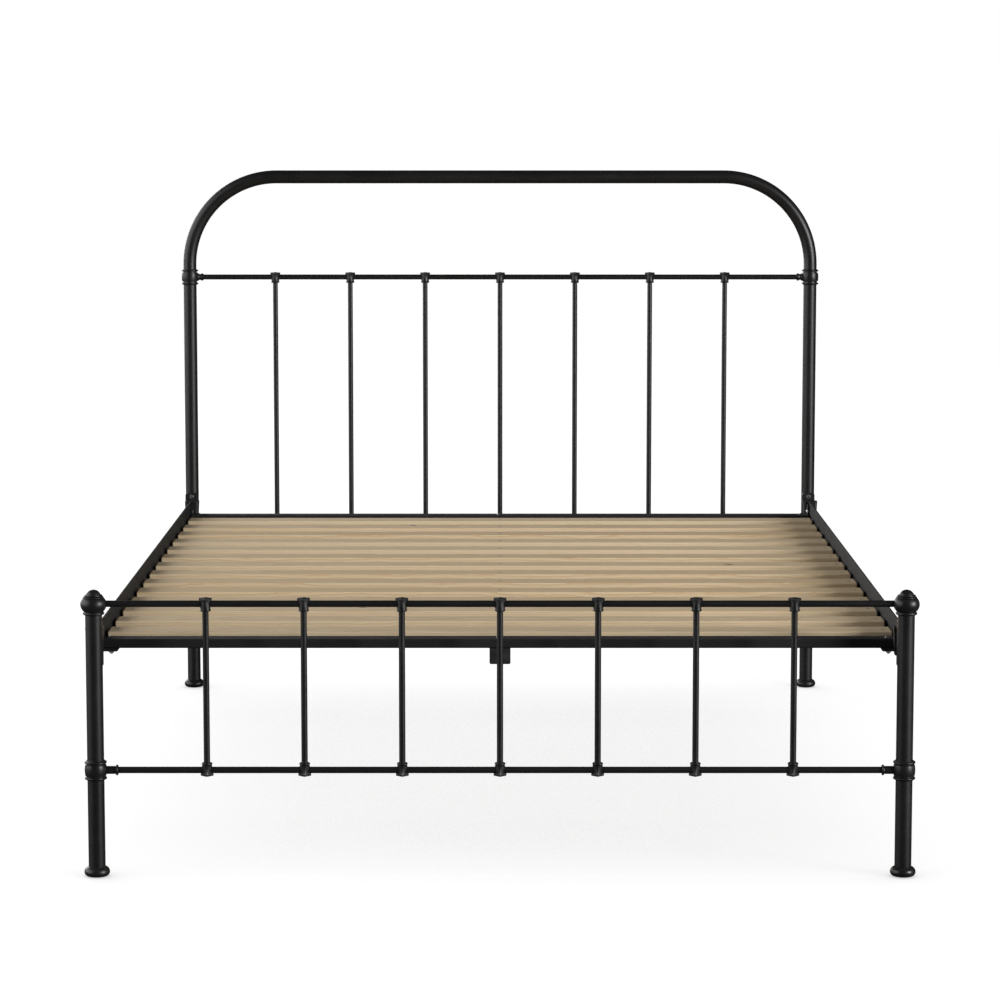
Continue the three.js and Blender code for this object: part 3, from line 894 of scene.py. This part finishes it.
def moulded_plastic():
    """Black moulded plastic with a spark-eroded texture."""
    material, tree, shader = new_finish("moulded_plastic")
    place = object_place(tree)
    texture = noise(tree, place, 1400.0, 3.0, 0.7)
    scuffs = ramp(tree, noise(tree, place, 55.0, 5.0, 0.7), 0.45, 0.7)
    tree.links.new(tint(tree, scuffs, (0.014, 0.014, 0.015), (0.034, 0.033, 0.032)), shader["Base Color"])
    tree.links.new(ramp(tree, scuffs, 0.0, 1.0, 0.5, 0.66), shader["Roughness"])
    emboss(tree, shader, texture, 0.5, 0.08 * MM)
    return material


FINISHES = {
    "tube_paint": powder_coat(
        "tube_powder_coat", shades=((0.0065, 0.0065, 0.0068), (0.0095, 0.0095, 0.0098)),
        gloss=(0.35, 0.43), dimples=420, pebble=0.25, relief=0.12, dust=0.05),
    "casting_paint": powder_coat(
        "casting_powder_coat", shades=((0.0062, 0.0062, 0.0065), (0.0098, 0.0098, 0.0101)),
        gloss=(0.33, 0.42), dimples=300, pebble=0.45, relief=0.24, dust=0.06, wear=0.35),
    "lock_paint": powder_coat(
        "lock_powder_coat", shades=((0.0068, 0.0068, 0.007), (0.0105, 0.0105, 0.0108)),
        gloss=(0.4, 0.5), dimples=260, pebble=0.7, relief=0.5, dust=0.08),
    "base_paint": powder_coat(
        "base_powder_coat", shades=((0.011, 0.011, 0.0115), (0.017, 0.017, 0.0175)),
        gloss=(0.64, 0.74), dimples=500, pebble=0.5, relief=0.35, dust=0.12, shine=0.3),
    "slat_wood": slat_pine(),
    "fastener_steel": zinc_plate(),
    "glide_plastic": moulded_plastic(),
}


# ---------------------------------------------------------------- putting the bed together

def fit(piece, body, finish, *nodes):
    """Finishes a piece, lets it move with its body, and hides the frame's nodes that it stands for."""
    piece.data.materials.clear()
    piece.data.materials.append(FINISHES[finish])
    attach(piece, body)
    if nodes:
        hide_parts(*nodes)


def facing_inward(sign):
    """Turns a piece that faces +X so that it faces the middle of the bed."""
    return about("Z", 0 if sign < 0 else 180)


def fit_rails(body, y, heights, reaches):
    for (label, node, height), reach in zip(heights, reaches):
        rail = rod(f"{body}_{label}", RAIL_RADIUS, (-reach, y, height), (reach, y, height))
        fit(rail, body, "tube_paint", node)


def fit_spindles(body, y, top_rail_z, knuckle):
    inside = 6 * MM
    for i in range(SPINDLE_COUNT):
        node = f"{body}_spindle_{i + 1}"
        x = middle(node).x
        bottom, top = (x, y, LOW_RAIL_Z + inside), (x, y, top_rail_z - inside)
        fit(rod(f"{node}_rod", SPINDLE_RADIUS, bottom, top), body, "tube_paint", node)
        upper = set_down(knuckle, f"{node}_top_knuckle", (x, y, top_rail_z))
        fit(upper, body, "casting_paint", node)
        lower = set_down(knuckle, f"{node}_bottom_knuckle", (x, y, LOW_RAIL_Z), about("X", 180))
        fit(lower, body, "casting_paint", node)


def fit_feet(body, y, foot, glide):
    for side, sign in SIDES.items():
        place = (sign * POST_X, y, 0)
        fit(set_down(foot, f"{body}_bun_foot_{side}", place), body, "casting_paint", f"{body}_foot_{side}")
        fit(set_down(glide, f"{body}_glide_{side}", place), body, "glide_plastic", f"{body}_foot_{side}")


def fit_brackets(body, y, degrees, bracket, screw):
    sunk_by = 0.3 * MM
    for side, sign in SIDES.items():
        place = Vector((sign * POST_X, y, 0))
        node = f"{body}_bracket_{side}"
        turn = about("Z", degrees)
        fit(set_down(bracket, f"{node}_casting", place, turn), body, "lock_paint", node)
        screws = []
        for height in BRACKET_SCREW_HEIGHTS:
            sunk = Matrix.Translation((0, BRACKET_FACE - sunk_by, height)) @ about("X", -90)
            screws.append(set_down(screw, f"{node}_screw", place, turn @ sunk))
        fit(gather(f"{node}_screws", screws), body, "fastener_steel", node)


def build_headboard(castings):
    body = "headboard"
    fit(hoop_tube(), body, "tube_paint", "headboard_hoop")
    collar = head_collar()
    for side, sign in SIDES.items():
        for level, height in (("upper", HEAD_RAIL_Z), ("lower", LOW_RAIL_Z)):
            place = (sign * POST_X, HEAD_Y, height)
            piece = set_down(collar, f"headboard_{level}_cast_collar_{side}", place, facing_inward(sign))
            fit(piece, body, "casting_paint", f"headboard_{level}_collar_{side}")
    reach = high("headboard_upper_rail").x
    fit_rails(body, HEAD_Y, (("upper_rod", "headboard_upper_rail", HEAD_RAIL_Z),
                             ("lower_rod", "headboard_lower_rail", LOW_RAIL_Z)), (reach, reach))
    fit_spindles(body, HEAD_Y, HEAD_RAIL_Z, castings["knuckle"])
    fit_feet(body, HEAD_Y, castings["foot"], castings["glide"])
    fit_brackets(body, HEAD_Y, 180, castings["bracket"], castings["bracket_screw"])
    discard(collar)


def build_footboard(castings):
    body = "footboard"
    finial = ball_finial()
    collar = foot_collar()
    for side, sign in SIDES.items():
        x = sign * POST_X
        turn = facing_inward(sign)
        post = post_tube(f"footboard_post_tube_{side}", x)
        fit(post, body, "tube_paint", f"footboard_post_{side}")
        seat = (x, FOOT_Y, low(f"footboard_finial_{side}").z + FINIAL_STEM * MM)
        ball = set_down(finial, f"footboard_ball_finial_{side}", seat, turn)
        fit(ball, body, "casting_paint", f"footboard_finial_{side}")
        piece = set_down(collar, f"footboard_cast_collar_{side}", (x, FOOT_Y, LOW_RAIL_Z), turn)
        fit(piece, body, "casting_paint", f"footboard_collar_{side}")
    reaches = (high("footboard_top_rail").x, high("footboard_lower_rail").x)
    fit_rails(body, FOOT_Y, (("top_rod", "footboard_top_rail", FOOT_RAIL_Z),
                             ("lower_rod", "footboard_lower_rail", LOW_RAIL_Z)), reaches)
    fit_spindles(body, FOOT_Y, FOOT_RAIL_Z, castings["knuckle"])
    fit_feet(body, FOOT_Y, castings["foot"], castings["glide"])
    fit_brackets(body, FOOT_Y, 0, castings["bracket"], castings["bracket_screw"])
    discard(finial, collar)


def fit_side_rails(body):
    angle = side_rail()
    for side, sign in SIDES.items():
        turn = about("Z", 0 if sign > 0 else 180)
        piece = set_down(angle, f"side_rail_angle_{side}", (sign * POST_X, 0, 0), turn)
        fit(piece, body, "base_paint", f"side_rail_{side}")
    discard(angle)


def fit_rail_ends(body):
    casting = rail_end()
    rivet_piece = rivet((CHEEK_GAP + CHEEK_THICKNESS) / MM)
    rivet_height = (SHELF_TOP + RAIL_TOP) / 2
    for end, y, degrees in (("foot", FOOT_Y, 0), ("head", HEAD_Y, 180)):
        for side, sign in SIDES.items():
            node = f"rail_end_{end}_{side}"
            place = Vector((sign * POST_X, y, 0))
            turn = about("Z", degrees)
            fit(set_down(casting, f"{node}_casting", place, turn), body, "lock_paint", node)
            pair = []
            for inset in RIVET_INSETS:
                spot = turn @ Vector((0, CHEEK_END - inset, rivet_height))
                pair.append(set_down(rivet_piece, f"{node}_rivet", place + spot))
            fit(gather(f"{node}_rivets", pair), body, "fastener_steel", node)
    discard(casting, rivet_piece)


def fit_cross_rails(body):
    floor = low("cross_rail_head").z
    half_width = extent("cross_rail_head").y / 2
    tube = box_tube("cross", half_width, floor, SLAT_TOP, SLAT_END)
    cap = tube_cap("cross_cap", half_width, floor, SLAT_TOP)
    for end, y in (("foot", -CROSS_RAIL_Y), ("head", CROSS_RAIL_Y)):
        piece = set_down(tube, f"cross_rail_tube_{end}", (0, y, 0), about("Z", 90))
        fit(piece, body, "base_paint", f"cross_rail_{end}")
        for side, sign in SIDES.items():
            place = (sign * SLAT_END, y, 0)
            piece = set_down(cap, f"cross_rail_cap_{end}_{side}", place, about("Z", -90 * sign))
            fit(piece, body, "glide_plastic", f"cross_rail_{end}")
    discard(tube, cap)


def fit_centre_rail(body):
    half_width = extent("centre_rail").x / 2
    length_end = high("centre_rail").y
    top = high("centre_rail").z
    tube = box_tube("centre_rail_tube", half_width, CENTRE_RAIL_FLOOR, top, length_end)
    fit(tube, body, "base_paint", "centre_rail")
    cap = tube_cap("centre_cap", half_width, CENTRE_RAIL_FLOOR, top)
    for end, sign, degrees in (("foot", -1, 180), ("head", 1, 0)):
        place = (0, sign * length_end, 0)
        piece = set_down(cap, f"centre_rail_cap_{end}", place, about("Z", degrees))
        fit(piece, body, "glide_plastic", "centre_rail")
    discard(cap)


def fit_bolts(body):
    """Carriage bolts hold each cross rail to the shelves and to the centre rail."""
    edge_bolt = carriage_bolt((SLAT_TOP - RAIL_FLOOR) / MM)
    centre_bolt = carriage_bolt((SLAT_TOP - CENTRE_RAIL_FLOOR) / MM)
    for end, y in (("foot", -CROSS_RAIL_Y), ("head", CROSS_RAIL_Y)):
        bolts = [set_down(centre_bolt, "bolt", (0, y, SLAT_TOP))]
        for sign in SIDES.values():
            bolts.append(set_down(edge_bolt, "bolt", (sign * FIXING_X, y, SLAT_TOP)))
        fit(gather(f"cross_rail_bolts_{end}", bolts), body, "fastener_steel", f"cross_rail_{end}")
    discard(edge_bolt, centre_bolt)


def fit_slats(body):
    board = slat()
    screw = countersunk_screw(4)
    screws = []
    for i in range(SLAT_COUNT):
        node = f"slat_{i + 1}"
        y = middle(node).y
        fit(set_down(board, f"{node}_board", (0, y, 0)), body, "slat_wood", node)
        for x in (-FIXING_X, 0, FIXING_X):
            screws.append(set_down(screw, "slat_screw", (x, y, SLAT_TOP)))
    fit(gather("slat_screws", screws), body, "fastener_steel", "slat_1")
    discard(board, screw)


def build_mattress_base():
    body = "mattress_base"
    fit_side_rails(body)
    fit_rail_ends(body)
    fit_cross_rails(body)
    fit_centre_rail(body)
    fit_bolts(body)
    fit_slats(body)


def build_bed():
    castings = {
        "knuckle": spindle_knuckle(),
        "foot": bun_foot(),
        "glide": foot_glide(),
        "bracket": corner_bracket(),
        "bracket_screw": countersunk_screw(4.8),
    }
    build_headboard(castings)
    build_footboard(castings)
    build_mattress_base()
    discard(*castings.values())


# ---------------------------------------------------------------- floor, light and camera

WHITE = (1, 1, 1, 1)
AIM = Vector((0, 0, 0.6))
CAMERA_PLACE = (0, -7.3317, 1.4812)
CAMERA_TILT = 6.891
CAMERA_LENS = 121.907

# Azimuth, elevation and distance, then width and height in metres, and watts.
SOFT_LIGHTS = {
    "key": (56, 11, 9, 3.0, 2.6, 680),
    "left_wall": (-82, 13, 8, 12, 8, 720),
    "back_wall": (-148, 12, 9, 5, 4, 260),
}


def toward(azimuth, elevation):
    """A direction: azimuth 0 is from the bed towards the camera, 90 is to the camera's right."""
    a, e = math.radians(azimuth), math.radians(elevation)
    return Vector((math.sin(a) * math.cos(e), -math.cos(a) * math.cos(e), math.sin(e)))


def studio_floor():
    """A pale floor that looks bright to the camera, with painted contact shadows where the bed stands
    close above it, and throws little light up under the bed.
    """
    floor = open_primitive("floor", bpy.ops.mesh.primitive_plane_add, size=240)
    close_piece(floor)
    material, tree, shader = new_finish("studio_floor")
    cloudy = noise(tree, object_place(tree), 0.8, 3.0)
    tree.links.new(tint(tree, cloudy, (0.1, 0.1, 0.1), (0.11, 0.11, 0.11)), shader["Base Color"])
    shader["Roughness"].default_value = 0.9
    nearby = {"Distance": 0.6}
    # Painted contact shadow: the floor's glow is dimmed by ambient occlusion where the bed and its feet
    # stand close above it.
    painted_shadow_ao = add_node(tree, "ShaderNodeAmbientOcclusion", nearby, samples=8).outputs["AO"]
    strength = ramp(tree, painted_shadow_ao, 0.3, 1.0, 0.58, 1.0)
    glow_with_painted_shadow = add_node(tree, "ShaderNodeEmission", {"Color": WHITE, "Strength": strength})
    lit = tree.nodes["Principled BSDF"].outputs[0]
    bright = add_node(tree, "ShaderNodeAddShader", {0: lit, 1: glow_with_painted_shadow.outputs[0]})
    dim = add_node(tree, "ShaderNodeBsdfDiffuse", {"Color": (0.15, 0.15, 0.15, 1)})
    seen = add_node(tree, "ShaderNodeLightPath").outputs["Is Camera Ray"]
    mixed = add_node(tree, "ShaderNodeMixShader", {0: seen, 1: dim.outputs[0], 2: bright.outputs[0]})
    tree.links.new(mixed.outputs[0], tree.nodes["Material Output"].inputs["Surface"])
    floor.data.materials.append(material)


def studio_world():
    """White behind the bed, and a dim even grey for what the paint reflects."""
    world = bpy.data.worlds.new("studio")
    world.use_nodes = True
    tree = world.node_tree
    tree.nodes.clear()
    seen = add_node(tree, "ShaderNodeLightPath").outputs["Is Camera Ray"]
    dim = add_node(tree, "ShaderNodeBackground", {"Color": WHITE, "Strength": 0.035})
    white = add_node(tree, "ShaderNodeBackground", {"Color": WHITE, "Strength": 1.0})
    mixed = add_node(tree, "ShaderNodeMixShader", {0: seen, 1: dim.outputs[0], 2: white.outputs[0]})
    add_node(tree, "ShaderNodeOutputWorld", {"Surface": mixed.outputs[0]})
    bpy.context.scene.world = world


def soft_light(name, azimuth, elevation, distance, width, height, watts):
    """A softbox that faces the middle of the bed."""
    light = bpy.data.lights.new(name, "AREA")
    light.shape = "RECTANGLE"
    light.size, light.size_y = width, height
    light.energy = watts
    lamp = bpy.data.objects.new(name, light)
    bpy.context.scene.collection.objects.link(lamp)
    lamp.location = AIM + toward(azimuth, elevation) * distance
    lamp.rotation_euler = (AIM - lamp.location).to_track_quat("-Z", "Y").to_euler()
    lamp.visible_camera = False


def studio_camera():
    camera = bpy.data.cameras.new("camera")
    camera.lens = CAMERA_LENS
    camera.sensor_width = 36
    stand = bpy.data.objects.new("camera", camera)
    bpy.context.scene.collection.objects.link(stand)
    stand.location = CAMERA_PLACE
    stand.rotation_euler = (math.radians(90 - CAMERA_TILT), 0, 0)
    bpy.context.scene.camera = stand


studio_camera()
build_bed()
studio_floor()
studio_world()
for light_name, light_settings in SOFT_LIGHTS.items():
    soft_light(light_name, *light_settings)
bpy.context.scene.view_settings.view_transform = "Standard"
